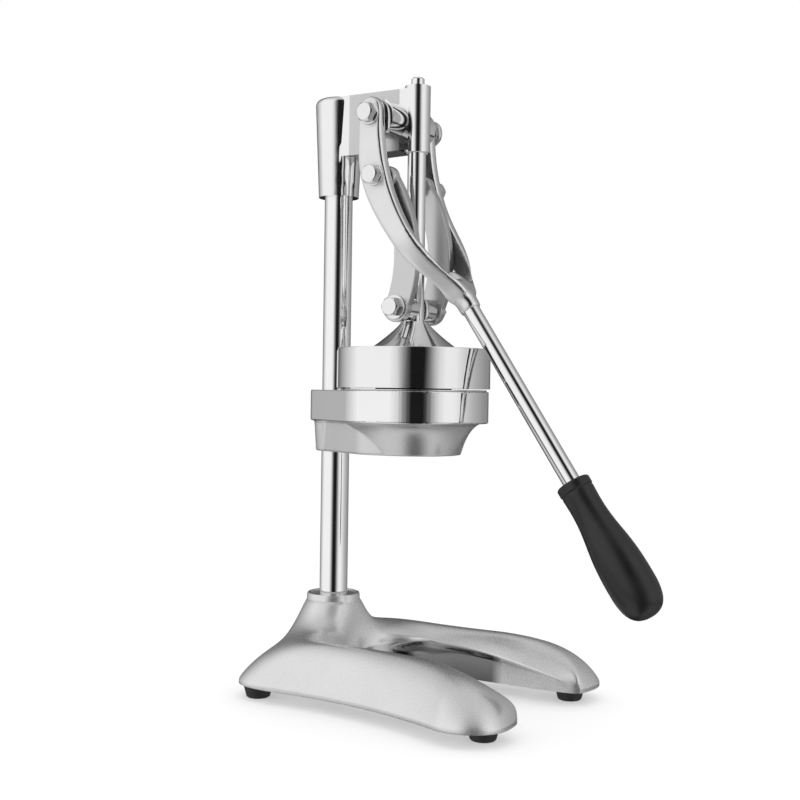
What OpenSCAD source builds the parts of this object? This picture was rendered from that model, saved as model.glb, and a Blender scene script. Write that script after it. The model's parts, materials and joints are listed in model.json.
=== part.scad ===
// Citrus press juicer: a horseshoe base, a column, a cup holder with a funnel and a strainer,
// and a press cup that a forked lever drives down through two links.
// Millimetres. +Z is up, +X points from the column to the handle, the bench is Z = 0,
// and the origin is the middle of the footprint of the whole machine.

/* [Base] */
// Distance from the column axis back to the rear edge of the base
base_rear = 42; // [38:1:60]
// Distance from the column axis forward to the front of the legs
base_front = 195; // [185:1:260]
// Widest measure across the two legs
base_width = 199; // [185:1:250]
// Width across the rear corners of the base
base_rear_width = 168; // [150:1:180]
// Width of the space between the legs, where the glass stands
opening_width = 82; // [60:1:96]
// Distance from the column axis forward to the rear of that space
opening_start = 27; // [26:1:36]
// Height of the crown of the legs above the bench
leg_height = 46; // [38:1:56]
// Height of the top of the column boss above the bench
boss_height = 73; // [62:1:95]
// Diameter of the column boss at its top
boss_d = 42; // [36:1:46]
// Height of the rubber feet
foot_height = 10; // [7:1:14]
// Diameter of the rubber feet where they meet the base
foot_d = 23; // [16:1:24]

/* [Column and head] */
// Diameter of the column
column_d = 22; // [18:1:26]
// Height of the top of the head casting above the bench
head_top = 462; // [430:1:560]
// Height of the head's column socket
socket_height = 77; // [66:1:90]
// Height of the head's arm
arm_height = 47; // [42:1:56]
// Outer diameter of the column socket at its top
socket_d = 38; // [34:1:44]
// Outer diameter of the sleeve that guides the plunger
sleeve_d = 19.6; // [18.6:0.2:24]

/* [Press] */
// Outer diameter of the press cup
cup_d = 116; // [96:1:140]
// Height of the press cup's cylindrical wall
cup_height = 30; // [24:1:40]
// Thickness of the press cup's wall
cup_wall = 2.2; // [1.6:0.2:4]
// Free space between the press cup and the column
cup_to_column = 4; // [2:0.5:12]
// Diameter of the plunger rod
rod_d = 14; // [12:0.5:14.5]
// Height of the cross pin above the press cup's rim
pin_above_cup = 30; // [27:1:50]

/* [Cup holder] */
// Height of the top of the holder's ring above the bench
holder_top = 233; // [205:1:260]
// Height of the holder's plain ring
ring_height = 24; // [18:1:30]
// Height of the narrowing part below the ring
bowl_height = 24; // [20:1:32]
// Thickness of the holder's ring
holder_wall = 4; // [3:0.5:6]

/* [Lever] */
// Distance from the lever's pivot forward to the plunger axis
pivot_back = 15.5; // [14:0.5:19]
// Distance from the lever's pivot to the bolts that drive the links
crank = 46.3; // [40:0.5:54]
// Clear width between the lever's two arms
fork_gap = 60; // [58:1:76]
// Thickness of each lever arm
arm_thickness = 11; // [8:0.5:14]
// Slope of the handle below level, with the press closed
handle_slope = 55.8; // [50:0.2:60]
// Length of bare handle rod between the socket and the grip
handle_length = 147; // [110:1:190]
// Diameter of the handle rod
handle_d = 13; // [10:0.5:14]
// Length of the grip
grip_length = 106; // [85:1:130]
// Largest diameter of the grip
grip_d = 34; // [28:0.5:38]

/* [Links] */
// Distance from the middle of the machine to the outer face of each link
link_outer = 27; // [26:0.5:28]
// Thickness of each link
link_thickness = 6.5; // [5:0.5:8]
// Width of each link half way along
link_width = 14; // [11:0.5:16]
// How far each link bows forward from the straight line between its pins
link_bow = 11; // [6:0.5:13]

/* [Hidden] */
$fn = 64;

// Clearances
fit = 0.05;           // radial, between a pin, rod or screw and its hole
side_play = 0.4;      // sideways, between parts that turn against each other
seat_play = 0.8;      // between the closed press cup and the funnel's lip
cut = 1;              // how far a cutting solid runs past a face
tangent_inset = 0.03; // how far straight sides are set in from the tangents of round ends

// Fasteners
pivot_bolt_d = 10;
link_pin_d = 8;
column_bolt_d = 10;
column_bolt_af = 17;
foot_screw_d = 5;
foot_head_h = 2.6;
set_screw_d = 6;
washer_t = 1.4;
bolt_head_af = 13;
bolt_head_h = 7;

// Places along X
throat = cup_d / 2 + cup_to_column + column_d / 2;
socket_end_from_pivot = [cup_d / 2 + 8, -145.8];
grip_end_r = grip_d / 3;
grip_reach = (handle_length + grip_length - grip_end_r) * cos(handle_slope) + grip_end_r;
column_x = (base_rear - (throat - pivot_back + socket_end_from_pivot[0] + grip_reach)) / 2;
plunger_x = column_x + throat;

// Heights
seat_z = 24;                                  // bottom of the column, inside the base
socket_bottom = head_top - socket_height;
arm_bottom = head_top - arm_height;
sleeve_top = head_top + 2;
sleeve_bottom = arm_bottom - 1.5;
lip_t = 1.2;
cup_bottom = holder_top + lip_t + seat_play;
cup_rim = cup_bottom + cup_height;
pin_z = cup_rim + pin_above_cup;

// Linkage, as [x, z]
crank_lean = 6.2;
pivot = [plunger_x - pivot_back, head_top - 24.5];
crank_pin = pivot + crank * [sin(crank_lean), -cos(crank_lean)];
cross = [plunger_x, pin_z];
socket_end = pivot + socket_end_from_pivot;

// Across the machine
arm_inner = fork_gap / 2;
arm_outer = arm_inner + arm_thickness;
link_inner = link_outer - link_thickness;
spacer_d = 18;

// ---------- helpers ----------

// A point on a cubic Bezier curve
function bezier(p, t) =
    pow(1 - t, 3) * p[0] + 3 * pow(1 - t, 2) * t * p[1] + 3 * (1 - t) * t * t * p[2] + pow(t, 3) * p[3];

// The points of a cubic Bezier curve cut into n steps
function curve(p, n) = [for (i = [0:n]) bezier(p, i / n)];

// A linear blend that holds its end values outside 0..1
function blend(a, b, t) = a + (b - a) * min(1, max(0, t));

// Draws its children on both sides of the machine, pointing outwards from distance y
module both_sides(at, y) {
    for (side = [-1, 1]) {
        translate([at[0], side * y, at[1]]) rotate([-90 * side, 0, 0]) children();
    }
}

// Draws its children on one side, pointing outwards
module one_side(at, y, side) {
    translate([at[0], side * y, at[1]]) rotate([-90 * side, 0, 0]) children();
}

// A hole or bar through the machine from side to side
module across(at, d, reach) {
    translate([at[0], -reach, at[1]]) rotate([-90, 0, 0]) cylinder(d = d, h = 2 * reach);
}

// Puts its children on the handle's axis; w counts from the socket's end towards the grip
module on_handle(w) {
    translate([socket_end[0], 0, socket_end[1]]) rotate([0, 90 + handle_slope, 0])
        translate([0, 0, w]) children();
}

module hex_head(af, h) {
    intersection() {
        cylinder(d = af / cos(30), h = h, $fn = 6);
        union() {
            cylinder(d = af * 1.2, h = h * 0.8);
            translate([0, 0, h * 0.8]) cylinder(d1 = af * 1.2, d2 = af * 0.94, h = h * 0.2);
        }
    }
}

module washer(hole_d, d, t) {
    difference() {
        cylinder(d = d, h = t);
        translate([0, 0, -cut]) cylinder(d = hole_d + 2 * fit, h = t + 2 * cut);
    }
}

module hex_nut(hole_d, af, h) {
    difference() {
        cylinder(d = af / cos(30), h = h, $fn = 6);
        translate([0, 0, -cut]) cylinder(d = hole_d + 2 * fit, h = h + 2 * cut);
    }
}

// The plan of two round ends joined by their common tangents. The straight sides are set in by
// a hair so that they cross the circles instead of just grazing them.
module two_centre_plan(r1, r2, distance) {
    lean = acos((r2 - r1) / distance);
    tangent = [-cos(lean), sin(lean)];
    near_1 = (r1 - tangent_inset) * tangent;
    near_2 = [distance, 0] + (r2 - tangent_inset) * tangent;
    circle(r = r1, $fn = 96);
    translate([distance, 0]) circle(r = r2, $fn = 96);
    polygon([near_1, near_2, [near_2[0], -near_2[1]], [near_1[0], -near_1[1]]]);
}

// ---------- base ----------

// The half of the base on the +Y side is swept from the rear middle (s = 0) to the leg's tip
// (s = 1). At each s a straight rib joins a point of the opening's edge to one of the outline,
// both taken at that share of their own length.
half_w = base_width / 2;
rear_w = base_rear_width / 2;
tip_x = base_front;
shoulder_x = base_front - 40;
opening_r = opening_width / 2;
opening_mid = opening_start + opening_r;
tip_edge_x = tip_x - 6;

outline_rear = [[-base_rear, 0], [-base_rear, rear_w * 0.79], [-base_rear, rear_w + 4], [2, rear_w - 1]];
outline_waist = [
    [2, rear_w - 1], [50, rear_w - 6.5],
    [shoulder_x - 60, rear_w - 6], [shoulder_x, half_w - 1.5]
];
outline_tip = [
    [shoulder_x, half_w - 1.5], [shoulder_x + 15, half_w + 3.6],
    [tip_x + 3, half_w - 6], [tip_x, half_w * 0.67]
];
outline_inside = [
    [tip_x, half_w * 0.67], [tip_x - 0.5, half_w * 0.6],
    [tip_x - 2, half_w * 0.53], [tip_x - 3.5, half_w * 0.5]
];
outline = concat(
    curve(outline_rear, 14), curve(outline_waist, 14),
    curve(outline_tip, 14), curve(outline_inside, 6)
);

opening_edge = concat(
    [for (a = [0:7.5:90]) [opening_mid - opening_r * cos(a), opening_r * sin(a)]],
    curve([
        [opening_mid + 1, opening_r], [opening_mid + 50, opening_r],
        [tip_edge_x - 14, opening_r], [tip_edge_x, opening_r + 7]
    ], 20)
);

// Running length at each point of a path
function lengths(path) =
    let (steps = [0, for (i = [1:len(path) - 1]) norm(path[i] - path[i - 1])])
    [for (i = 0, sum = 0; i < len(path); i = i + 1, sum = sum + (i < len(path) ? steps[i] : 0)) sum];

// The point at a share t of a path's length
function along(path, sums, t) =
    let (goal = t * sums[len(sums) - 1])
    let (i = min(len(path) - 2, max([for (k = [0:len(sums) - 1]) if (sums[k] <= goal) k])))
    path[i] + (path[i + 1] - path[i]) * (goal - sums[i]) / max(0.0001, sums[i + 1] - sums[i]);

outline_sums = lengths(outline);
opening_sums = lengths(opening_edge);
function outer_point(s) = along(outline, outline_sums, s);
function inner_point(s) = along(opening_edge, opening_sums, s);

edge_z = foot_height + 3;
crotch_z = leg_height - 18;
inner_top_z = leg_height - 10;
tip_edge_z = foot_height + 6;
tip_crown_z = foot_height + 7;

// Height of the opening's upper edge: it rises from the rear, then falls away to the tip
function inner_z(s) =
    let (x = inner_point(s)[0])
    let (rise = blend(crotch_z, inner_top_z, sin(90 * min(1, s / 0.27))))
    rise - (inner_top_z - tip_edge_z) * pow(max(0, (x - 60) / (tip_edge_x - 60)), 2);

// Height of the crown, which is level until the leg turns down to its tip in a quarter ellipse
turn_x = shoulder_x - 40;
function crown_z(s) =
    let (x = inner_point(s)[0] + crown_v * (outer_point(s)[0] - inner_point(s)[0]))
    let (turn = min(1, max(0, (x - turn_x) / (tip_edge_x + 1 - turn_x))))
    tip_crown_z + (leg_height - tip_crown_z) * sqrt(1 - turn * turn);

crown_v = 0.38;
function rib_z(s, v) =
    v < crown_v
    ? inner_z(s) + (crown_z(s) - inner_z(s)) * sin(90 * v / crown_v)
    : edge_z + (crown_z(s) - edge_z) * pow(cos(90 * (v - crown_v) / (1 - crown_v)), 0.8);

// The boss lifts the surface near the column and dies away with distance
boss_r = boss_d / 2;
lift_fall = 11;
function lift(r) = exp(-pow(max(0, r - boss_r) / lift_fall, 1.2));
function ease(t) = pow(sin(90 * min(1, max(0, t))), 2);

function surface_point(s, v) =
    let (a = inner_point(s), b = outer_point(s))
    let (p = a + (b - a) * v)
    let (low = rib_z(s, v))
    let (z = low + (boss_height - 4 - low) * lift(norm(p)) * ease(v / 0.09) * ease((1 - v) / 0.3))
    [p[0], p[1], z];

rib_steps = [0, 0.03, 0.07, 0.12, 0.18, 0.26, 0.36, 0.47, 0.58, 0.68, 0.77, 0.85, 0.91, 0.96, 0.99, 1];
station_count = 30;
stations = [for (i = [-station_count:station_count]) i / station_count];

// One closed rib: along the top from inside to outside, then back along the bottom
function rib(place) =
    let (s = abs(place), side = place < 0 ? -1 : 1)
    let (a = inner_point(s), b = outer_point(s))
    [
        for (v = rib_steps) let (p = surface_point(s, v)) [p[0], side * p[1], p[2]],
        [b[0], side * b[1], foot_height],
        [a[0], side * a[1], foot_height]
    ];

module base_shell() {
    n = len(rib_steps) + 2;
    rings = len(stations);
    points = [for (s = stations) each rib(s)];
    sides = [
        for (i = [0:rings - 2], j = [0:n - 1]) let (k = (j + 1) % n)
            each [
                [i * n + j, i * n + k, (i + 1) * n + k],
                [i * n + j, (i + 1) * n + k, (i + 1) * n + j]
            ]
    ];
    first_end = [for (j = [n - 1:-1:0]) j];
    last_end = [for (j = [0:n - 1]) (rings - 1) * n + j];
    polyhedron(points, concat(sides, [first_end, last_end]), convexity = 6);
}

foot_y = 67;
foot_inset = 20;
foot_places = [for (x = [-foot_inset, tip_x - foot_inset], side = [1, -1]) [x, side * foot_y]];
foot_recess_d = 11;
foot_recess = 4.5;
boss_pad_z = seat_z - 10;
washer_z = boss_pad_z - washer_t - 0.6;

// A hollow under each leg, as castings have
module leg_hollow(side) {
    translate([0, side * (opening_r + 19), foot_height - cut]) linear_extrude(14) {
        translate([35, 0]) circle(d = 18);
        translate([shoulder_x - 25, 0]) circle(d = 18);
        translate([35, -9]) square([shoulder_x - 60, 18]);
    }
}

module base_casting() {
    color("silver") translate([column_x, 0, 0]) difference() {
        union() {
            base_shell();
            translate([0, 0, foot_height]) cylinder(r = boss_r, h = boss_height - foot_height - 1);
            translate([0, 0, boss_height - 1]) difference() {
                cylinder(r1 = boss_r, r2 = boss_r - 1, h = 1);
                cylinder(r = boss_r - 3, h = 2);
            }
        }
        translate([0, 0, seat_z]) cylinder(d = column_d + 2 * fit, h = boss_height);
        translate([0, 0, -cut]) cylinder(d = column_bolt_d + 2 * fit, h = seat_z + 2 * cut);
        translate([0, 0, -cut]) cylinder(d = 26, h = boss_pad_z + cut);
        leg_hollow(1);
        leg_hollow(-1);
        for (p = foot_places) {
            translate([p[0], p[1], foot_height - cut]) cylinder(d = foot_screw_d + 2 * fit, h = 9 + cut);
        }
    }
}

module rubber_feet() {
    color("dimgray") for (p = foot_places) {
        translate([column_x + p[0], p[1], 0]) difference() {
            union() {
                cylinder(r1 = foot_d / 2 - 3.5, r2 = foot_d / 2 - 2.5, h = 1);
                translate([0, 0, 1]) cylinder(r1 = foot_d / 2 - 2.5, r2 = foot_d / 2, h = foot_height - 1);
            }
            translate([0, 0, -cut]) cylinder(d = foot_recess_d, h = foot_recess + cut);
            cylinder(d = foot_screw_d + 2 * fit, h = foot_height + cut);
        }
    }
}

module foot_screws() {
    color("gainsboro") for (p = foot_places) {
        translate([column_x + p[0], p[1], foot_recess - foot_head_h]) {
            cylinder(d1 = 8, d2 = 9.5, h = foot_head_h);
            cylinder(d = foot_screw_d, h = foot_height + 6);
        }
    }
}

// ---------- column ----------

column_top = head_top - 8;

module column_rod() {
    color("whitesmoke") translate([column_x, 0, seat_z]) difference() {
        cylinder(d = column_d, h = column_top - seat_z);
        translate([0, 0, -cut]) cylinder(d = column_bolt_d + 2 * fit, h = 30 + cut);
    }
}

module column_bolt() {
    color("gainsboro") translate([column_x, 0, washer_z]) {
        cylinder(d = column_bolt_d, h = 36);
        rotate([180, 0, 0]) hex_head(column_bolt_af, 6.4);
    }
}

module column_washer() {
    color("gainsboro") translate([column_x, 0, washer_z]) washer(column_bolt_d, 24, boss_pad_z - washer_z);
}

// ---------- cup holder, funnel and strainer ----------

ring_r = cup_d / 2 - 1;
ring_inner = ring_r - holder_wall;
ring_bottom = holder_top - ring_height;
holder_bottom = ring_bottom - bowl_height;
bowl_top_r = ring_r - 5.5;
bowl_bottom_r = bowl_top_r - 15;
holder_boss_top_r = column_d / 2 + 9;
holder_boss_r = column_d / 2 + 4.3;

// The web under the ring ends in a round that crosses the bowl's foot at its widest
holder_web_back = 13;
holder_web_r = norm([holder_web_back, bowl_bottom_r]);

// Outer side of the bowl, curving in from the ring to the flat bottom
bowl_side = [
    [bowl_top_r, ring_bottom], [bowl_top_r - 8, ring_bottom - 3],
    [bowl_bottom_r + 2.5, ring_bottom - 14], [bowl_bottom_r, holder_bottom]
];

// Inner side of the bowl, from its floor up to the ring
bowl_inside = [
    [bowl_bottom_r - 4.5, holder_bottom + 4], [bowl_bottom_r - 1.5, ring_bottom - 12],
    [bowl_top_r - 12, ring_bottom - 2], [bowl_top_r - 4, ring_bottom + 1]
];

module cup_holder() {
    color("silver") difference() {
        union() {
            translate([column_x, 0, ring_bottom]) linear_extrude(ring_height)
                two_centre_plan(holder_boss_top_r, ring_r, throat);
            translate([plunger_x, 0, 0]) rotate_extrude($fn = 96)
                polygon(concat(curve(bowl_side, 12), [[0, holder_bottom], [0, ring_bottom]]));
            translate([column_x, 0, holder_bottom])
                cylinder(r1 = holder_boss_r, r2 = holder_boss_top_r - 3, h = bowl_height);
            translate([column_x, 0, holder_bottom]) linear_extrude(bowl_height)
                two_centre_plan(holder_boss_r - 1, holder_web_r, throat - holder_web_back);
        }
        translate([plunger_x, 0, 0]) rotate_extrude($fn = 96) polygon(concat(
            [[0, holder_bottom - cut], [spout_r + 3, holder_bottom - cut], [spout_r + 3, holder_bottom + 4]],
            curve(bowl_inside, 10),
            [[ring_inner, ring_bottom + 1], [ring_inner, holder_top + cut], [0, holder_top + cut]]
        ));
        translate([column_x, 0, holder_bottom - cut])
            cylinder(d = column_d + 2 * fit, h = holder_top - holder_bottom + 2 * cut);
        translate([column_x, 0, ring_bottom + ring_height / 2]) rotate([0, -90, 0])
            cylinder(d = set_screw_d + 2 * fit, h = holder_boss_top_r + cut);
    }
}

module holder_set_screw() {
    color("dimgray") translate([column_x - column_d / 2 - fit, 0, ring_bottom + ring_height / 2])
        rotate([0, -90, 0]) set_screw(7.5);
}

module set_screw(length) {
    difference() {
        cylinder(d = set_screw_d, h = length);
        translate([0, 0, length - 3]) cylinder(d = 3.4, h = 3 + cut, $fn = 6);
    }
}

spout_r = 11;
sheet = 1.2;
funnel_r = ring_inner - 0.6;
funnel_floor = holder_bottom + 14;

// Sheet-metal funnel: a lip on the ring, a straight wall, a sloping floor and a short spout
module juice_funnel() {
    color("gainsboro") translate([plunger_x, 0, 0]) rotate_extrude($fn = 96) polygon([
        [ring_r - 1.5, holder_top], [ring_r - 1.5, holder_top + lip_t],
        [funnel_r - sheet, holder_top + lip_t], [funnel_r - sheet, ring_bottom + 3 + sheet],
        [spout_r + sheet, funnel_floor + sheet], [spout_r, funnel_floor],
        [spout_r, holder_bottom + 1], [spout_r + sheet, holder_bottom + 1],
        [spout_r + sheet, funnel_floor - 1], [funnel_r, ring_bottom + 3],
        [funnel_r, holder_top]
    ]);
}

strainer_r = funnel_r - sheet - 0.3;
strainer_z = ring_bottom + 3 + sheet + fit;
strainer_lip = 4;
strainer_hole_d = 2.6;
hole_rings = [0.3, 0.58, 0.86];
holes_in_ring = 24;
cone_r = cup_d * 0.31;
cone_top = cup_bottom + 27;
cone_seat_r = cone_r - 5;
rib_count = 8;

// Perforated plate with a low lip, which rests on the funnel where its floor begins
module strainer_plate() {
    margin = strainer_hole_d / 2 + 0.5;
    color("gainsboro") translate([plunger_x, 0, strainer_z]) difference() {
        cylinder(r = strainer_r, h = strainer_lip, $fn = 96);
        translate([0, 0, sheet]) cylinder(r = strainer_r - sheet, h = strainer_lip, $fn = 96);
        translate([0, 0, -cut]) cylinder(r = cone_seat_r + fit, h = sheet + 2 * cut);
        for (k = hole_rings, i = [0:holes_in_ring - 1]) {
            rotate((i + k) * 360 / holes_in_ring)
                translate([blend(cone_r + margin, strainer_r - sheet - margin, k), 0, -cut])
                    cylinder(d = strainer_hole_d, h = sheet + 2 * cut, $fn = 16);
        }
    }
}

// Outer side of the squeezing cone, from its foot to its top
cone_side = [
    [cone_r, strainer_z + sheet], [cone_r - 4, strainer_z + 24],
    [10, cone_top - 5], [0, cone_top]
];

// Inner side, from the top to the seat; each control point lies inside its outer neighbour
cone_inside = [
    [0, cone_top - 3], [8, cone_top - 8.5],
    [cone_r - 7.5, strainer_z + 21], [cone_seat_r - 2, strainer_z + 0.2]
];

// Hollow ribbed cone whose foot drops into the strainer plate
module squeezing_cone() {
    color("gainsboro") translate([plunger_x, 0, 0]) {
        rotate_extrude($fn = 96) polygon(concat(
            [[cone_seat_r, strainer_z + 0.2], [cone_seat_r, strainer_z + sheet]],
            curve(cone_side, 12),
            curve(cone_inside, 12)
        ));
        for (i = [0:rib_count - 1]) rotate(i * 360 / rib_count) cone_rib();
    }
}

// A raised rib on the squeezing cone, rooted inside its wall
module cone_rib() {
    crest = [for (p = curve(cone_side, 8)) if (p[1] < cone_top - 2) p];
    rotate([90, 0, 0]) translate([0, 0, -1]) linear_extrude(2) polygon(concat(
        [for (p = crest) p + [1.6, 0.4]],
        [for (i = [len(crest) - 1:-1:0]) [crest[i][0] - 1.2, max(crest[i][1] - 1, strainer_z + sheet)]]
    ));
}

// ---------- head ----------

boss_cross_r = 13.5;
head_round = 5;
barrel_foot_d = socket_d - 6.5;
web_r = socket_d / 2 - 5;

// Outline of the barrel that takes the column, with a rounded top edge
module barrel_outline() {
    top_r = socket_d / 2;
    polygon(concat(
        [[0, socket_bottom], [barrel_foot_d / 2, socket_bottom]],
        [
            for (a = [0:15:90])
                [top_r - head_round * (1 - cos(a)), head_top - head_round * (1 - sin(a))]
        ],
        [[0, head_top]]
    ));
}

module head_casting() {
    color("silver") difference() {
        union() {
            translate([column_x, 0, 0]) rotate_extrude($fn = 96) barrel_outline();
            translate([column_x, 0, arm_bottom]) linear_extrude(arm_height - 0.5)
                two_centre_plan(web_r, sleeve_d / 2 - 0.4, throat);
            translate([plunger_x, 0, sleeve_bottom]) cylinder(d = sleeve_d, h = sleeve_top - sleeve_bottom);
            across(pivot, 2 * boss_cross_r, arm_inner - side_play);
        }
        translate([column_x, 0, socket_bottom - cut])
            cylinder(d = column_d + 2 * fit, h = column_top - socket_bottom + cut);
        translate([plunger_x, 0, sleeve_bottom - cut])
            cylinder(d = bush_d + 2 * fit, h = sleeve_top - sleeve_bottom + 2 * cut);
        across(pivot, pivot_bolt_d + 2 * fit, arm_inner + cut);
        for (z = head_screw_heights) {
            translate([column_x, 0, z]) rotate([0, -90, 0]) cylinder(d = set_screw_d + 2 * fit, h = socket_d);
        }
    }
}

head_screw_heights = [socket_bottom + 16, arm_bottom + 12];

module head_set_screws() {
    color("dimgray") for (z = head_screw_heights) {
        translate([column_x - column_d / 2 - fit, 0, z]) rotate([0, -90, 0]) set_screw(5);
    }
}

bush_d = rod_d + 2.6;

module guide_bush() {
    color("ivory") translate([plunger_x, 0, sleeve_bottom]) difference() {
        cylinder(d = bush_d, h = sleeve_top - sleeve_bottom);
        translate([0, 0, -cut]) cylinder(d = rod_d + 2 * fit, h = sleeve_top - sleeve_bottom + 2 * cut);
    }
}

// ---------- plunger ----------

rod_bottom = cup_rim + 3;
spigot_d = rod_d - 4;
rod_top = sleeve_top + 6.5;

module plunger_rod() {
    color("whitesmoke") difference() {
        translate([plunger_x, 0, rod_bottom]) {
            cylinder(d = rod_d, h = sleeve_top - rod_bottom);
            cylinder(d = spigot_d, h = rod_top - 1 - rod_bottom);
            translate([0, 0, rod_top - 1 - rod_bottom]) cylinder(d1 = spigot_d, d2 = spigot_d - 2, h = 1);
        }
        across(cross, link_pin_d + 2 * fit, rod_d);
    }
}

cup_r = cup_d / 2;
hub_r = rod_d / 2 + 3;
hub_top = pin_z - spacer_d / 2 - 0.5;
dish_r = cup_r * 0.76;
dish_z = cup_rim - 7;

// The press cup's cone, from the hub down to the flat annulus inside the wall
cup_cone = [[hub_r, hub_top], [hub_r + 2.5, hub_top - 4.5], [dish_r * 0.62, cup_rim + 3], [dish_r, dish_z]];

module press_cup() {
    color("whitesmoke") translate([plunger_x, 0, 0]) difference() {
        union() {
            rotate_extrude($fn = 96) polygon(concat(
                [[rod_d / 2 + fit, hub_top]],
                curve(cup_cone, 12),
                [
                    [cup_r - cup_wall, dish_z],
                    [cup_r - cup_wall, cup_rim - 1], [cup_r - cup_wall + 0.6, cup_rim],
                    [cup_r - 0.6, cup_rim], [cup_r, cup_rim - 1], [cup_r, cup_bottom],
                    [cup_r - cup_wall, cup_bottom], [cup_r - cup_wall, dish_z - cup_wall],
                    [dish_r - 1, dish_z - cup_wall], [hub_r + 8, cup_rim + 2], [hub_r, rod_bottom - 3],
                    [0, rod_bottom - 3], [0, rod_bottom], [rod_d / 2 + fit, rod_bottom]
                ]
            ));
            for (i = [0:7]) rotate(i * 45 + 22.5) cup_rib();
        }
    }
}

// A rib under the press cup that grips the peel
module cup_rib() {
    translate([0, 1, 0]) rotate([90, 0, 0]) linear_extrude(2) polygon([
        [hub_r + 1, cup_rim + 0.5], [hub_r + 9, cup_rim + 1.5],
        [dish_r, dish_z - 0.6], [cup_r - cup_wall - 3, dish_z - 0.6],
        [cup_r - cup_wall - 3, dish_z - cup_wall - 2], [dish_r - 2, dish_z - cup_wall - 2.6],
        [hub_r + 6, cup_rim - 3.5]
    ]);
}

module cross_pin() {
    color("gainsboro") one_side(cross, link_outer + side_play + washer_t, -1) {
        hex_head(bolt_head_af, bolt_head_h);
        rotate([180, 0, 0]) cylinder(d = link_pin_d, h = 2 * (link_outer + side_play + washer_t) + 6);
    }
}

module cross_pin_nut() {
    color("gainsboro") one_side(cross, link_outer + side_play + washer_t, 1)
        hex_nut(link_pin_d, bolt_head_af, 6);
}

module cross_pin_washers() {
    color("whitesmoke") both_sides(cross, link_outer + side_play) washer(link_pin_d, 18, washer_t);
}

module link_spacers() {
    spacer_inner = rod_d / 2 + fit;
    color("gainsboro") both_sides(cross, spacer_inner)
        washer(link_pin_d, spacer_d, link_inner - side_play - spacer_inner);
}

// ---------- links ----------

link_top_r = 9.5;
link_foot_r = 11;
link_dir = (crank_pin - cross) / norm(crank_pin - cross);
link_normal = [link_dir[1], -link_dir[0]];
link_length = norm(crank_pin - cross);

// A point beside the straight line between the pins: along it from the foot, and forward of it
function link_point(along, forward) = cross + link_length * along * link_dir + forward * link_normal;

module link_outline() {
    back = link_bow * 1.33 - link_width / 2;
    front = link_bow * 1.33 + link_width / 2;
    translate(cross) circle(r = link_foot_r);
    translate(crank_pin) circle(r = link_top_r);
    polygon(concat(
        curve([
            link_point(0, -link_foot_r), link_point(0.3, back * 1.25 - 2),
            link_point(0.7, back * 1.25 - 2), link_point(1, -link_top_r)
        ], 16),
        curve([
            link_point(1, link_top_r), link_point(0.72, front * 1.12),
            link_point(0.3, front * 1.3), link_point(0, link_foot_r)
        ], 16)
    ));
}

module link(side) {
    difference() {
        union() {
            translate([0, side * (link_inner + link_outer) / 2 + link_thickness / 2, 0]) rotate([90, 0, 0])
                linear_extrude(link_thickness) link_outline();
            one_side(crank_pin, link_inner, side)
                cylinder(r = link_top_r - 0.5, h = arm_inner - side_play - link_inner);
        }
        across(cross, link_pin_d + 2 * fit, arm_inner);
        across(crank_pin, link_pin_d + 2 * fit, arm_inner);
    }
}

module link_near() {
    color("lightgray") link(-1);
}

module link_far() {
    color("lightgray") link(1);
}

// The inner halves of the two crank bolts, which end where the arms begin
module link_pins() {
    color("gainsboro") both_sides(crank_pin, link_inner - 5.5)
        cylinder(d = link_pin_d, h = arm_inner - side_play - link_inner + 5.5);
}

module link_pin_nuts() {
    color("gainsboro") both_sides(crank_pin, link_inner - 5) hex_nut(link_pin_d, bolt_head_af, 5);
}

// ---------- lever ----------

// Side view of the arms, as offsets from the pivot
arm_top_r = 10;
arm_top = pivot + [-2, 4];
reach = socket_end_from_pivot[0];
front_edge = [[8, 3.5], [8, -57.5], [reach * 0.49, -87.5], [reach - 6, -122]];
rear_edge = [[-12, -29.5], [-11.5, -61.5], [reach * 0.19, -89.5], [reach - 22, -127]];
function from_pivot(p) = [for (q = p) pivot + q];

handle_dir = [cos(handle_slope), -sin(handle_slope)];
handle_normal = [sin(handle_slope), cos(handle_slope)];
yoke_socket_d = 17;
yoke_socket_length = 36;
socket_bore = 27;

module arm_side() {
    translate(arm_top) circle(r = arm_top_r);
    polygon(concat(
        [arm_top + [arm_top_r, 0]],
        curve(from_pivot(front_edge), 16),
        [
            socket_end - 12 * handle_dir + yoke_socket_d / 2 * handle_normal,
            socket_end - 12 * handle_dir - yoke_socket_d / 2 * handle_normal,
        ],
        [for (i = [16:-1:0]) bezier(from_pivot(rear_edge), i / 16)],
        [arm_top - [arm_top_r, 0]]
    ));
}

// Plan of the fork: its own X runs down the arms with 0 at the crotch, its own Y is across
crotch = pivot + [reach - 6.5, -122.5];
plan_slope = 37;
crotch_depth = 48;
// The crotch is a little fuller than an ellipse, so that it clears the links
fork_inner = [
    for (i = [0:12]) [crotch_depth * (sin(90 * i / 12) - 1), arm_inner * pow(cos(90 * i / 12), 0.8)]
];
fork_outer = concat(
    [[-190, arm_outer], [-62, arm_outer]],
    curve([[-50, arm_outer], [-18, arm_outer], [-10, yoke_socket_d / 2 + 5], [14, yoke_socket_d / 2]], 12),
    [[60, yoke_socket_d / 2]]
);

function mirrored(points) = [for (i = [len(points) - 1:-1:0]) [points[i][0], -points[i][1]]];

module fork_plan() {
    difference() {
        polygon(concat(fork_outer, mirrored(fork_outer)));
        polygon(concat([[-200, arm_inner]], fork_inner, mirrored(fork_inner), [[-200, -arm_inner]]));
    }
}

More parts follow.
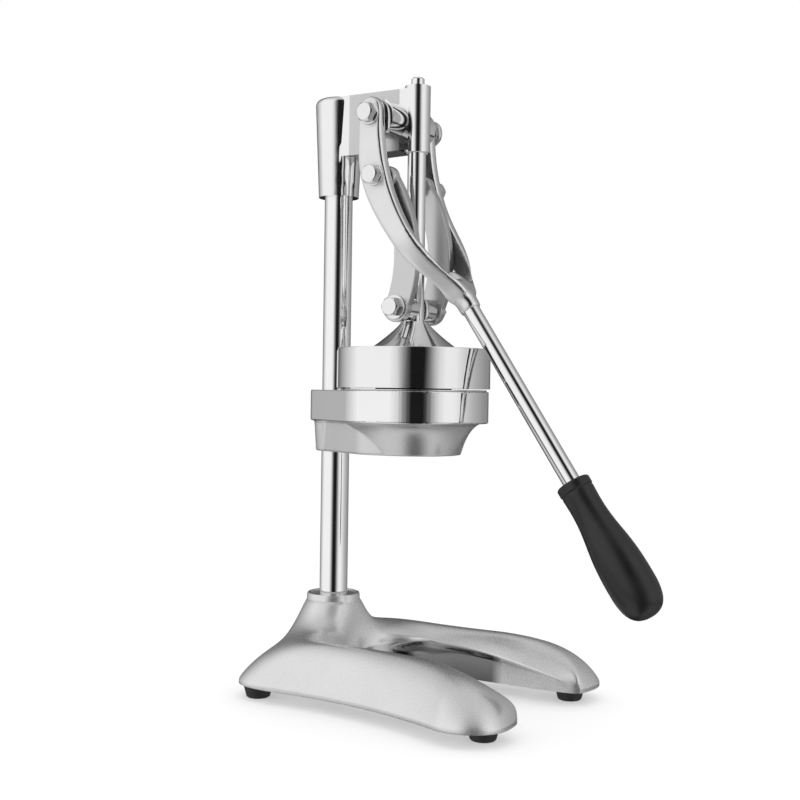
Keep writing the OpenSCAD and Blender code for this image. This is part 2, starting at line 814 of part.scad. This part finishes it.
module lever_yoke() {
    color("silver") difference() {
        union() {
            intersection() {
                translate([0, arm_outer, 0]) rotate([90, 0, 0]) linear_extrude(2 * arm_outer) arm_side();
                translate([crotch[0], 0, crotch[1]]) rotate([0, plan_slope, 0]) translate([0, 0, -80])
                    linear_extrude(160) fork_plan();
            }
            on_handle(-yoke_socket_length) cylinder(d1 = yoke_socket_d / 2, d2 = yoke_socket_d, h = 10);
            on_handle(10 - yoke_socket_length) cylinder(d = yoke_socket_d, h = yoke_socket_length - 10);
        }
        on_handle(-socket_bore) cylinder(d = handle_d + 2 * fit, h = socket_bore + cut);
        across(pivot, pivot_bolt_d + 2 * fit, arm_outer + cut);
        across(crank_pin, link_pin_d + 2 * fit, arm_outer + cut);
    }
}

grip_bore = grip_length - 26;

module handle_rod() {
    color("whitesmoke") on_handle(-socket_bore)
        cylinder(d = handle_d, h = socket_bore + handle_length + grip_bore);
}

grip_r = grip_d / 2;
collar_r = grip_r * 0.735;
neck_r = grip_r * 0.69;

// Half outline of the grip: [radius, distance from its rod end]
grip_swell = [
    [neck_r, 18], [neck_r, grip_length * 0.4],
    [grip_r * 1.02, grip_length * 0.45], [grip_r, grip_length * 0.76]
];
grip_end = [
    [grip_r, grip_length * 0.76], [grip_r, grip_length * 0.93],
    [grip_r * 0.7, grip_length], [0, grip_length]
];

module handle_grip() {
    color("dimgray") on_handle(handle_length) difference() {
        rotate_extrude() polygon(concat(
            [[0, 0], [collar_r - 1, 0], [collar_r, 1], [collar_r, 6]],
            [[collar_r - 0.8, 6.8], [collar_r - 0.4, 8]],
            curve(grip_swell, 14),
            curve(grip_end, 12)
        ));
        translate([0, 0, -cut]) cylinder(d = handle_d + 2 * fit, h = grip_bore + cut);
    }
}

module pivot_bolt() {
    color("gainsboro") one_side(pivot, arm_outer + washer_t, -1) {
        hex_head(bolt_head_af, bolt_head_h);
        rotate([180, 0, 0]) cylinder(d = pivot_bolt_d, h = 2 * (arm_outer + washer_t) + 5);
    }
}

// Domed nut with a round flange
module pivot_nut() {
    color("gainsboro") one_side(pivot, arm_outer + washer_t, 1) difference() {
        rotate_extrude() polygon([
            [0, 0], [10.5, 0], [10.5, 2], [9.6, 3.6], [8, 5.2], [5.6, 6.6], [2.8, 7.4], [0, 7.6]
        ]);
        translate([0, 0, -cut]) cylinder(d = pivot_bolt_d + 2 * fit, h = 5 + cut + fit);
    }
}

module pivot_washers() {
    color("whitesmoke") both_sides(pivot, arm_outer) washer(pivot_bolt_d, 16, washer_t);
}

// The outer halves of the bolts that drive the links, which end at the arms' inner faces
module crank_bolts() {
    color("gainsboro") both_sides(crank_pin, arm_outer + washer_t) {
        hex_head(bolt_head_af, bolt_head_h);
        rotate([180, 0, 0]) cylinder(d = link_pin_d, h = arm_thickness + washer_t);
    }
}

module crank_washers() {
    color("whitesmoke") both_sides(crank_pin, arm_outer) washer(link_pin_d, 15, washer_t);
}

base_casting();
rubber_feet();
foot_screws();
column_rod();
column_bolt();
column_washer();
cup_holder();
holder_set_screw();
juice_funnel();
strainer_plate();
squeezing_cone();
head_casting();
head_set_screws();
guide_bush();
plunger_rod();
press_cup();
cross_pin();
cross_pin_nut();
cross_pin_washers();
link_spacers();
link_near();
link_far();
link_pins();
link_pin_nuts();
lever_yoke();
handle_rod();
handle_grip();
pivot_bolt();
pivot_nut();
pivot_washers();
crank_bolts();
crank_washers();
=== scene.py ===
import json
import math

import bpy
from mathutils import Matrix, Vector


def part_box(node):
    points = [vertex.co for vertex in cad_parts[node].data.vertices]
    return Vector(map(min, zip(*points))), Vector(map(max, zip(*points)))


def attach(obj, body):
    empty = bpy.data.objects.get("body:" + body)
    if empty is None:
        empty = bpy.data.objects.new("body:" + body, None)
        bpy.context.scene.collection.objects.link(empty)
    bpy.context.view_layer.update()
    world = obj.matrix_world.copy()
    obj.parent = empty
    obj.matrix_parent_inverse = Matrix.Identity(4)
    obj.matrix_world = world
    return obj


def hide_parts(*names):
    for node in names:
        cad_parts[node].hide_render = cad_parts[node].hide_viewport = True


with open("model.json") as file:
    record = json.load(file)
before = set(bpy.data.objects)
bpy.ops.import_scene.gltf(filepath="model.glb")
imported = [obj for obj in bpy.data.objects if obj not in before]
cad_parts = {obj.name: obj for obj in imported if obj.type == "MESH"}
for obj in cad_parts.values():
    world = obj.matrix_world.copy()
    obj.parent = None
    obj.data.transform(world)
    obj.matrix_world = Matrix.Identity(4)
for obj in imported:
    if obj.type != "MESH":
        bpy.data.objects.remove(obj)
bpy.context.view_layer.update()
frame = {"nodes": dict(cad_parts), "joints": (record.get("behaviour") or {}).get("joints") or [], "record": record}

MM = 0.001
NODES = frame["nodes"]
JOINTS = {j["name"]: j for j in frame["joints"]}


def centre_of(node):
    low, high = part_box(node)
    return (low + high) / 2


# ---------- places taken from the frame ----------

COLUMN_X = centre_of("column_rod").x
PLUNGER_X = centre_of("plunger_rod").x
PIVOT = Vector(JOINTS["lever_swing"]["pos_m"])
OPENING_R = 41 * MM
OPENING_MID = COLUMN_X + 68 * MM
RING_BOTTOM = 209 * MM

# ---------- shader helpers ----------

# The part of a noise texture's range that is spread over the full change of a value
CLOUD = (0.3, 0.7)
# Depth of the finest surface relief
RELIEF = 0.2 * MM


def new_material(name):
    mat = bpy.data.materials.new(name)
    mat.use_nodes = True
    tree = mat.node_tree
    shader = tree.nodes["Principled BSDF"]
    return mat, tree, shader


def add_node(tree, kind, inputs=None, **settings):
    made = tree.nodes.new(kind)
    for key, value in settings.items():
        setattr(made, key, value)
    for key, value in (inputs or {}).items():
        made.inputs[key].default_value = value
    return made


def noise(tree, scale, detail=3.0, stretch=(1, 1, 1), roughness=0.5):
    """A noise texture in object space; stretch below 1 draws the grain out along that axis."""
    coord = add_node(tree, "ShaderNodeTexCoord")
    mapping = add_node(tree, "ShaderNodeMapping", {"Scale": stretch})
    tex = add_node(tree, "ShaderNodeTexNoise", {"Scale": scale, "Detail": detail, "Roughness": roughness})
    tree.links.new(coord.outputs["Object"], mapping.inputs["Vector"])
    tree.links.new(mapping.outputs["Vector"], tex.inputs["Vector"])
    return tex.outputs["Fac"]


def ramp(tree, source, low, high, at=(0.0, 1.0)):
    """Maps a 0..1 source to a range of values."""
    limits = {"From Min": at[0], "From Max": at[1], "To Min": low, "To Max": high}
    made = add_node(tree, "ShaderNodeMapRange", limits)
    tree.links.new(source, made.inputs["Value"])
    return made.outputs["Result"]


def colour_ramp(tree, source, stops):
    made = add_node(tree, "ShaderNodeValToRGB")
    elements = made.color_ramp.elements
    while len(elements) < len(stops):
        elements.new(0.5)
    for element, (position, grey) in zip(elements, stops):
        element.position = position
        element.color = grey if isinstance(grey, tuple) else (grey, grey, grey, 1)
    tree.links.new(source, made.inputs["Fac"])
    return made.outputs["Color"]


def plug(tree, socket, value):
    """Feeds a socket from another node, or with a plain value."""
    if isinstance(value, bpy.types.NodeSocket):
        tree.links.new(value, socket)
    else:
        socket.default_value = value


def math_node(tree, operation, *values):
    made = add_node(tree, "ShaderNodeMath", operation=operation)
    for socket, value in zip(made.inputs, values):
        plug(tree, socket, value)
    return made.outputs["Value"]


def mix_colour(tree, factor, low, high):
    made = add_node(tree, "ShaderNodeMix", data_type="RGBA")
    plug(tree, made.inputs[0], factor)
    plug(tree, made.inputs[6], low)
    plug(tree, made.inputs[7], high)
    return made.outputs[2]


def mix_number(tree, factor, low, high):
    made = add_node(tree, "ShaderNodeMix", data_type="FLOAT")
    plug(tree, made.inputs[0], factor)
    plug(tree, made.inputs[2], low)
    plug(tree, made.inputs[3], high)
    return made.outputs[0]


def cloudy_grey(tree, cloud, grey, darkest):
    """A grey that drifts down to a share of itself with a cloud texture."""
    return colour_ramp(tree, cloud, [(CLOUD[0], grey * darkest), (CLOUD[1], grey)])


def bump(tree, shader, source, strength, distance):
    made = add_node(tree, "ShaderNodeBump", {"Strength": strength, "Distance": distance})
    tree.links.new(source, made.inputs["Height"])
    tree.links.new(made.outputs["Normal"], shader.inputs["Normal"])


# ---------- materials ----------


def polished_metal(name, grey, roughness, grain=(1, 1, 0.02)):
    """Mirror metal with faint polishing lines."""
    mat, tree, shader = new_material(name)
    shader.inputs["Metallic"].default_value = 1.0
    lines = noise(tree, 900, 2, grain)
    cloud = noise(tree, 35, 4)
    tree.links.new(cloudy_grey(tree, cloud, grey, 0.97), shader.inputs["Base Color"])
    gloss = ramp(tree, cloud, roughness * 0.7, roughness * 1.3, CLOUD)
    tree.links.new(gloss, shader.inputs["Roughness"])
    bump(tree, shader, lines, 0.04, RELIEF)
    return mat


def satin_metal(name, grey, roughness):
    """Cast metal with a fine blasted grain under a silver finish."""
    mat, tree, shader = new_material(name)
    shader.inputs["Metallic"].default_value = 1.0
    grain = noise(tree, 2200, 2)
    cloud = noise(tree, 28, 4)
    tree.links.new(cloudy_grey(tree, cloud, grey, 0.95), shader.inputs["Base Color"])
    gloss = ramp(tree, grain, roughness - 0.05, roughness + 0.05, CLOUD)
    tree.links.new(gloss, shader.inputs["Roughness"])
    bump(tree, shader, grain, 0.12, RELIEF)
    return mat


def brushed_sheet(name, grey, roughness):
    """Spun sheet steel, with fine rings."""
    mat, tree, shader = new_material(name)
    shader.inputs["Metallic"].default_value = 1.0
    rings = noise(tree, 1400, 2, (0.05, 0.05, 1))
    cloud = noise(tree, 40, 3)
    tree.links.new(cloudy_grey(tree, cloud, grey, 0.95), shader.inputs["Base Color"])
    gloss = ramp(tree, rings, roughness - 0.04, roughness + 0.06, CLOUD)
    tree.links.new(gloss, shader.inputs["Roughness"])
    bump(tree, shader, rings, 0.1, RELIEF)
    return mat


def moulded(name, colour, roughness, grain_scale, grain_strength):
    """Moulded plastic or rubber with a fine texture."""
    mat, tree, shader = new_material(name)
    grain = noise(tree, grain_scale, 3)
    cloud = noise(tree, 60, 4)
    dark = tuple(c * 0.8 for c in colour) + (1,)
    shades = colour_ramp(tree, cloud, [(CLOUD[0], dark), (CLOUD[1], colour + (1,))])
    tree.links.new(shades, shader.inputs["Base Color"])
    gloss = ramp(tree, cloud, roughness - 0.05, roughness + 0.05, CLOUD)
    tree.links.new(gloss, shader.inputs["Roughness"])
    bump(tree, shader, grain, grain_strength, 1.5 * RELIEF)
    return mat


def blend_masks(tree, shader, mask, polished, satin):
    """A casting's grey, roughness and metallic: polished where the mask is 1, satin where it is 0."""
    grain = noise(tree, 2200, 2)
    cloud = noise(tree, 28, 4)
    polished_grey, polished_rough = polished
    satin_grey, satin_rough, satin_metallic = satin
    shine = cloudy_grey(tree, cloud, polished_grey, 0.97)
    dull = cloudy_grey(tree, cloud, satin_grey, 0.95)
    tree.links.new(mix_colour(tree, mask, dull, shine), shader.inputs["Base Color"])
    smooth = ramp(tree, cloud, polished_rough * 0.7, polished_rough * 1.3, CLOUD)
    coarse = ramp(tree, grain, satin_rough - 0.05, satin_rough + 0.05, CLOUD)
    tree.links.new(mix_number(tree, mask, coarse, smooth), shader.inputs["Roughness"])
    tree.links.new(mix_number(tree, mask, satin_metallic, 1.0), shader.inputs["Metallic"])
    height = mix_number(tree, mask, grain, 0.5)
    bump(tree, shader, height, 0.05, RELIEF)


def place(tree):
    """The point being shaded, as separate X, Y and Z outputs."""
    coord = add_node(tree, "ShaderNodeTexCoord")
    split = add_node(tree, "ShaderNodeSeparateXYZ")
    tree.links.new(coord.outputs["Object"], split.inputs["Vector"])
    return split.outputs["X"], split.outputs["Y"], split.outputs["Z"]


def casting(name, mask_of, polished, satin):
    """Cast metal whose polished places are chosen by a function of where the point is."""
    mat, tree, shader = new_material(name)
    blend_masks(tree, shader, mask_of(tree), polished, satin)
    return mat


def paint_shade_inside(mat, shade):
    """Paints shade on the faces that look towards the machine's middle plane: a near-black grey stands in for the
    shadow between the arms.
    """
    tree = mat.node_tree
    socket = tree.nodes["Principled BSDF"].inputs["Base Color"]
    colour = socket.links[0].from_socket
    coord = add_node(tree, "ShaderNodeTexCoord")
    split = add_node(tree, "ShaderNodeSeparateXYZ")
    tree.links.new(coord.outputs["Normal"], split.inputs["Vector"])
    _, y, _ = place(tree)
    side = math_node(tree, "SIGN", y)
    inward = math_node(tree, "MULTIPLY", split.outputs["Y"], side)
    dark = ramp(tree, inward, 1, 0, (-0.9, -0.6))
    tree.links.new(mix_colour(tree, dark, colour, (shade, shade, shade, 1)), socket)
    return mat


def base_wall_mask(tree):
    """1 on the upright wall of the base's opening: a straight-sided gap with a round end."""
    x, y, _ = place(tree)
    back = math_node(tree, "MINIMUM", math_node(tree, "SUBTRACT", x, OPENING_MID), 0.0)
    squares = math_node(tree, "ADD", math_node(tree, "POWER", back, 2.0), math_node(tree, "POWER", y, 2.0))
    reach = math_node(tree, "SQRT", squares)
    return ramp(tree, reach, 1, 0, (OPENING_R + 0.3 * MM, OPENING_R + 0.5 * MM))


def holder_ring_mask(tree):
    _, _, z = place(tree)
    return ramp(tree, z, 0, 1, (RING_BOTTOM - 0.3 * MM, RING_BOTTOM + 0.1 * MM))


def head_mask(tree):
    """The barrel and the sleeve are polished, and the web between them is satin."""
    x, _, _ = place(tree)
    barrel = ramp(tree, x, 1, 0, (COLUMN_X + 18 * MM, COLUMN_X + 19 * MM))
    sleeve = ramp(tree, x, 0, 1, (PLUNGER_X - 10.2 * MM, PLUNGER_X - 9.7 * MM))
    return math_node(tree, "MAXIMUM", barrel, sleeve)


def yoke_mask(tree):
    """The front edges of the arms are polished, and their sides are satin."""
    coord = add_node(tree, "ShaderNodeTexCoord")
    ahead = add_node(tree, "ShaderNodeVectorMath", operation="DOT_PRODUCT")
    tree.links.new(coord.outputs["Normal"], ahead.inputs[0])
    ahead.inputs[1].default_value = (0.9, 0, 0.43)
    return ramp(tree, ahead.outputs["Value"], 0, 1, (0.3, 0.5))


MATERIALS = {
    "polished_chrome": polished_metal("chrome", 0.93, 0.035),
    "polished_casting": polished_metal("polished_casting", 0.9, 0.035, (1, 1, 0.3)),
    "satin_casting": satin_metal("satin_casting", 0.66, 0.32),
    "stainless_sheet": brushed_sheet("stainless_sheet", 0.8, 0.2),
    "bolt_steel": polished_metal("bolt_steel", 0.86, 0.14, (1, 1, 1)),
    "dark_steel": polished_metal("dark_steel", 0.06, 0.35, (1, 1, 1)),
    "bush_plastic": moulded("bush_plastic", (0.82, 0.8, 0.74), 0.5, 900, 0.05),
    "grip_plastic": moulded("grip_plastic", (0.009, 0.009, 0.0095), 0.33, 1500, 0.06),
    "foot_rubber": moulded("foot_rubber", (0.012, 0.012, 0.013), 0.6, 1200, 0.2),
}
BASE_CASTING = casting("base_casting", base_wall_mask, (0.5, 0.08), (0.78, 0.28, 0.85))
CASTINGS = {
    "cup_holder": casting("holder_casting", holder_ring_mask, (0.92, 0.04), (0.7, 0.3, 0.9)),
    "head_casting": casting("head_casting", head_mask, (0.9, 0.05), (0.62, 0.3, 0.9)),
    # The yoke's inward faces get painted shade, a 0.1 grey standing in for the shadow between its arms
    "lever_yoke": paint_shade_inside(casting("yoke_casting", yoke_mask, (0.85, 0.08), (0.76, 0.36, 0.6)), 0.1),
}


def paint(obj, slot):
    obj.data.materials.clear()
    obj.data.materials.append(MATERIALS[slot])


# ---------- finishing the carried-over CAD nodes ----------


EDGE_ROUND = 0.4 * MM
SHARP_ANGLE = 34
WELD_GAP = 0.01 * MM


def soften(obj):
    """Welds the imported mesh, rounds its edges and smooths what is meant to be round."""
    weld = obj.modifiers.new("weld", "WELD")
    weld.merge_threshold = WELD_GAP
    bevel = obj.modifiers.new("bevel", "BEVEL")
    bevel.width = EDGE_ROUND
    bevel.segments = 2
    bevel.limit_method = "ANGLE"
    bevel.angle_limit = math.radians(SHARP_ANGLE)
    for polygon in obj.data.polygons:
        polygon.use_smooth = True
    smooth_by_angle(obj, SHARP_ANGLE)
    # The long sides of rods keep their true normals, in spite of the small faces at their ends
    obj.modifiers.new("even", "WEIGHTED_NORMAL")


def smooth_by_angle(obj, angle):
    """Keeps edges sharper than the angle crisp, with an edge split that leaves the mesh alone."""
    split = obj.modifiers.new("crisp", "EDGE_SPLIT")
    split.split_angle = math.radians(angle)
    split.use_edge_sharp = False


# Voxel size and smoothing passes of the castings whose edges all melt together
SKINS = {
    "lever_yoke": (0.9 * MM, 110),
    "link_near": (0.5 * MM, 5),
    "link_far": (0.5 * MM, 5),
    "cup_holder": (0.8 * MM, 3),
}


def finish_cad_nodes():
    slots = {row["node"]: row["material_slot"] for row in frame["record"]["subparts"]}
    for name, obj in NODES.items():
        if name in CASTINGS:
            obj.data.materials.clear()
            obj.data.materials.append(CASTINGS[name])
        else:
            paint(obj, slots[name])
        if name in SKINS:
            cast_smooth(obj, *SKINS[name])
        else:
            soften(obj)


def cast_smooth(obj, voxel, passes):
    """Rounds every edge and melts the corners together, as a polished casting's are."""
    remesh = obj.modifiers.new("skin", "REMESH")
    remesh.mode = "VOXEL"
    remesh.voxel_size = voxel
    remesh.use_smooth_shade = True
    smooth = obj.modifiers.new("melt", "SMOOTH")
    smooth.factor = 0.5
    smooth.iterations = passes


# ---------- base ----------

# The same ribs as the CAD base, many times finer. Millimetres, from the column's axis.
OUTLINE_REAR = [(-42, 0), (-42, 66.4), (-42, 88), (2, 83)]
OUTLINE_WAIST = [(2, 83), (50, 77.5), (95, 78), (155, 98)]
OUTLINE_TIP = [(155, 98), (170, 103.1), (198, 93.5), (195, 66.7)]
OUTLINE_INSIDE = [(195, 66.7), (194.5, 59.7), (193, 52.7), (191.5, 49.8)]
TIP_EDGE_X = 189
LEG_TOP, TIP_TOP, EDGE_Z, SOLE_Z, BOSS_TOP, BOSS_R = 46, 17, 13, 10, 73, 21
CROWN_V = 0.38
RIB_STEPS = 44


def bezier(p, t):
    weights = ((1 - t) ** 3, 3 * (1 - t) ** 2 * t, 3 * (1 - t) * t * t, t**3)
    return tuple(sum(w * q[axis] for w, q in zip(weights, p)) for axis in range(len(p[0])))


def path_points(*pieces):
    return [Vector(bezier(piece, i / 40)) for piece in pieces for i in range(41)]


def running_lengths(path):
    sums = [0.0]
    for a, b in zip(path, path[1:]):
        sums.append(sums[-1] + (b - a).length)
    return sums


def along(path, sums, share):
    """The point at a share of a path's length."""
    goal = share * sums[-1]
    i = min(len(path) - 2, max(k for k, total in enumerate(sums) if total <= goal))
    step = max(1e-6, sums[i + 1] - sums[i])
    return path[i].lerp(path[i + 1], (goal - sums[i]) / step)


OUTLINE = path_points(OUTLINE_REAR, OUTLINE_WAIST, OUTLINE_TIP, OUTLINE_INSIDE)
ROUND_TURNS = [math.radians(2 * step) for step in range(46)]
OPENING = [Vector((68 - 41 * math.cos(turn), 41 * math.sin(turn))) for turn in ROUND_TURNS]
OPENING += path_points([(69, 41), (118, 41), (TIP_EDGE_X - 14, 41), (TIP_EDGE_X, 48)])
OUTLINE_SUMS, OPENING_SUMS = running_lengths(OUTLINE), running_lengths(OPENING)


def inner_edge_z(s, x):
    rise = 28 + 8 * math.sin(math.radians(90 * min(1, s / 0.27)))
    return rise - 20 * max(0, (x - 60) / (TIP_EDGE_X - 60)) ** 2


def crown_z(x):
    turn = min(1, max(0, (x - 115) / (TIP_EDGE_X - 114)))
    return TIP_TOP + (LEG_TOP - TIP_TOP) * math.sqrt(1 - turn * turn)


def ease(t):
    return math.sin(math.radians(90 * min(1, max(0, t)))) ** 2


def base_surface(s, a, b, v):
    p = a.lerp(b, v)
    inner, crown = inner_edge_z(s, a.x), crown_z(a.lerp(b, CROWN_V).x)
    if v < CROWN_V:
        low = inner + (crown - inner) * math.sin(math.radians(90 * v / CROWN_V))
    else:
        low = EDGE_Z + (crown - EDGE_Z) * math.cos(math.radians(90 * (v - CROWN_V) / (1 - CROWN_V))) ** 0.8
    lift = math.exp(-((max(0, p.length - BOSS_R) / 11) ** 1.2))
    z = low + (BOSS_TOP - 4 - low) * lift * ease(v / 0.09) * ease((1 - v) / 0.3)
    return p.x, p.y, z


def base_rib(s, side):
    """One closed rib: up the opening's wall, over the top to the outline, and back underneath."""
    a, b = along(OPENING, OPENING_SUMS, s), along(OUTLINE, OUTLINE_SUMS, s)
    top = inner_edge_z(s, a.x)
    points = [(a.x, a.y, SOLE_Z + (top - 0.4 - SOLE_Z) * i / 4) for i in range(5)]
    for i in range(RIB_STEPS + 1):
        v = 0.5 - 0.5 * math.cos(math.pi * i / RIB_STEPS)
        points.append(base_surface(s, a, b, max(v, 0.006)))
    inset = a.lerp(b, 0.985)
    points.append((b.x, b.y, SOLE_Z + 0.6))
    points.append((inset.x, inset.y, SOLE_Z))
    return [Vector((COLUMN_X + x * MM, side * y * MM, z * MM)) for x, y, z in points]


def mesh_object(name, points, faces):
    mesh = bpy.data.meshes.new(name)
    mesh.from_pydata(points, [], faces)
    mesh.update()
    obj = bpy.data.objects.new(name, mesh)
    bpy.context.scene.collection.objects.link(obj)
    for polygon in mesh.polygons:
        polygon.use_smooth = True
    return obj


def loft(name, rings):
    """A closed solid through a row of closed rings that all have the same number of points."""
    count = len(rings[0])
    points = [p for ring in rings for p in ring]
    faces = []
    for i in range(len(rings) - 1):
        for j in range(count):
            k = (j + 1) % count
            faces.append((i * count + j, i * count + k, (i + 1) * count + k, (i + 1) * count + j))
    faces.append(tuple(reversed(range(count))))
    faces.append(tuple(range(len(points) - count, len(points))))
    return mesh_object(name, points, faces)


def lathe(name, outline, x, steps=128):
    """A closed outline of (radius, height) in millimetres, turned about the upright axis at x."""
    rings = []
    for i in range(steps):
        turn = 2 * math.pi * i / steps
        across, deep = MM * math.cos(turn), MM * math.sin(turn)
        rings.append([Vector((x + r * across, r * deep, z * MM)) for r, z in outline])
    count = len(outline)
    points = [p for ring in rings for p in ring]
    faces = []
    for i in range(steps):
        for j in range(count):
            k = (j + 1) % count
            m = (i + 1) % steps
            faces.append((i * count + j, m * count + j, m * count + k, i * count + k))
    return mesh_object(name, points, faces)


def carve(obj, outline, top):
    """Cuts a hollow into the underside up to a height in millimetres; the outline runs anticlockwise."""
    rings = [[Vector((COLUMN_X + x * MM, y * MM, z * MM)) for x, y in outline] for z in (SOLE_Z - 2, top)]
    cutter = loft("cutter", rings)
    boolean = obj.modifiers.new("hollow", "BOOLEAN")
    boolean.operation = "DIFFERENCE"
    boolean.object = cutter
    cut = bpy.data.meshes.new_from_object(obj.evaluated_get(bpy.context.evaluated_depsgraph_get()))
    obj.modifiers.remove(boolean)
    obj.data = cut
    bpy.data.objects.remove(cutter)


def arc(x, y, radius, first, last, steps=24):
    turns = [math.radians(first + (last - first) * i / steps) for i in range(steps + 1)]
    return [(x + radius * math.cos(t), y + radius * math.sin(t)) for t in turns]


# The boss with the raised bead round its top, as (radius, height)
BOSS_OUTLINE = [
    (11.2, 40), (BOSS_R, 40), (BOSS_R, 66), (BOSS_R - 0.1, 71.6), (BOSS_R - 0.7, 72.7),
    (BOSS_R - 1.5, 73), (BOSS_R - 2.5, 72.8), (BOSS_R - 3.2, 72.1), (BOSS_R - 4, 72),
    (11.4, 72), (11.2, 71.8),
]


def melt_boss(body):
    """Smooths the flank of the column boss into the legs, and nothing below or beyond it."""
    group = body.vertex_groups.new(name="boss_flank")
    for vertex in body.data.vertices:
        distance = math.hypot(vertex.co.x - COLUMN_X, vertex.co.y) / MM
        ring = ease((distance - 19) / 8) * ease((80 - distance) / 30)
        weight = ring * ease((vertex.co.z / MM - 28) / 10)
        group.add([vertex.index], weight, "REPLACE")
    smooth = body.modifiers.new("melt", "SMOOTH")
    smooth.factor = 0.5
    smooth.iterations = 40
    smooth.vertex_group = group.name


def add_base():
    """The horseshoe casting, with its boss and the bead round the column."""
    half = 150
    rings = [base_rib(abs(i) / half, -1 if i < 0 else 1) for i in range(-half, half + 1)]
    body = loft("base_body", rings)
    for y in (60, -60):
        carve(body, arc(35, y, 9, 90, 270) + arc(130, y, 9, -90, 90), 23)
    carve(body, arc(0, 0, 13, 0, 352, 44), 14)
    melt_boss(body)
    boss = lathe("base_boss", BOSS_OUTLINE, COLUMN_X)
    for obj in (body, boss):
        obj.data.materials.append(BASE_CASTING)
        smooth_by_angle(obj, 32)
        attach(obj, "frame")
    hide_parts("base_casting")


# ---------- stage: camera, floor, light ----------


def add_camera():
    """The camera stands level with the cup, in front and to the near side."""
    data = bpy.data.cameras.new("camera")
    data.sensor_width = 36
    data.lens = 54.52
    data.clip_start = 0.02
    obj = bpy.data.objects.new("camera", data)
    bpy.context.scene.collection.objects.link(obj)
    turn = math.radians(33.27)
    dip = math.radians(-0.39)
    forward = Vector((-math.sin(turn) * math.cos(dip), math.cos(turn) * math.cos(dip), math.sin(dip)))
    right = Vector((math.cos(turn), math.sin(turn), 0))
    up = right.cross(forward)
    basis = Matrix((right, up, -forward)).transposed()
    roll = Matrix.Rotation(math.radians(0.81), 3, "Z")
    obj.matrix_world = Matrix.Translation((COLUMN_X + 0.570, -0.7762, 0.2323)) @ (basis @ roll).to_4x4()
    bpy.context.scene.camera = obj
    return obj


# Brightness of the studio by bearing, in degrees to the right of the camera as the object
# sees it: a narrow black flag near the camera, white fills on both sides, dark behind.
STUDIO = [
    (-180, 0.0), (-165, 0.08), (-150, 0.2), (-120, 0.6), (-93, 0.95), (-37, 0.95), (-24, 0.72),
    (-16, 0.3), (-9, 0.1), (-4, 0.01), (15, 0.01), (19, 0.08), (24, 0.21), (30, 0.46), (38, 0.74),
    (49, 0.92), (65, 0.9), (84, 0.65), (105, 0.45), (134, 0.3), (150, 0.27), (168, 0.1), (180, 0.0),
]
OVERHEAD = 0.6
# How much of that brightness is left below the horizon, where a dark band lies over the bench's
# far edge. The first number runs from 0 at half a unit below the horizon to 1 at the horizon.
BELOW = [(0.0, 0.8), (0.3, 0.8), (0.45, 0.1), (0.54, 0.1), (0.66, 1.0)]


def add_world(camera):
    """White to the camera and to matt surfaces; polished metal sees the studio's bands of light."""
    world = bpy.data.worlds.new("world")
    world.use_nodes = True
    tree = world.node_tree
    back = tree.nodes["Background"]
    facing = math.atan2(camera.location.y, camera.location.x - PLUNGER_X)
    coord = add_node(tree, "ShaderNodeTexCoord")
    split = add_node(tree, "ShaderNodeSeparateXYZ")
    tree.links.new(coord.outputs["Generated"], split.inputs["Vector"])
    azimuth = math_node(tree, "ARCTAN2", split.outputs["Y"], split.outputs["X"])
    turned = math_node(tree, "SUBTRACT", azimuth, facing)
    bearing = math_node(tree, "WRAP", turned, math.pi, -math.pi)
    share = ramp(tree, bearing, 0, 1, (-math.pi, math.pi))
    bands = colour_ramp(tree, share, [((degrees + 180) / 360, grey) for degrees, grey in STUDIO])
    height = ramp(tree, split.outputs["Z"], 0, 1, (0.68, 0.97))
    shaped = mix_colour(tree, height, bands, (OVERHEAD, OVERHEAD, OVERHEAD, 1))
    below = colour_ramp(tree, ramp(tree, split.outputs["Z"], 0, 1, (-0.5, 0.0)), BELOW)
    dimmed = mix_colour(tree, below, (0, 0, 0, 1), shaped)
    path = add_node(tree, "ShaderNodeLightPath")
    seen = mix_colour(tree, path.outputs["Is Glossy Ray"], (1, 1, 1, 1), dimmed)
    tree.links.new(seen, back.inputs["Color"])
    bright = mix_number(tree, path.outputs["Is Diffuse Ray"], 1.0, 1.25)
    tree.links.new(bright, back.inputs["Strength"])
    bpy.context.scene.world = world
    bpy.context.scene.view_settings.view_transform = "Standard"


FLOOR_RADIUS = 1.6
# The floor is seen at this strength near the machine, and fades away between these distances
FLOOR_SHOWS = 0.6
FLOOR_FADE = (0.3, 0.75)


def add_floor():
    """A pale floor that fades into the white surroundings."""
    bpy.ops.mesh.primitive_circle_add(vertices=128, radius=FLOOR_RADIUS, fill_type="NGON", location=(0, 0, 0))
    obj = bpy.context.object
    obj.name = "floor"
    mat, tree, shader = new_material("floor")
    shader.inputs["Base Color"].default_value = (0.97, 0.97, 0.97, 1)
    shader.inputs["Roughness"].default_value = 0.9
    shader.inputs["Specular IOR Level"].default_value = 0.1
    coord = add_node(tree, "ShaderNodeTexCoord")
    length = add_node(tree, "ShaderNodeVectorMath", operation="LENGTH")
    tree.links.new(coord.outputs["Object"], length.inputs[0])
    fading = ramp(tree, length.outputs["Value"], FLOOR_SHOWS, 0, FLOOR_FADE)
    tree.links.new(fading, shader.inputs["Alpha"])
    obj.data.materials.append(mat)
    obj.visible_glossy = False


finish_cad_nodes()
add_base()
add_world(add_camera())
add_floor()
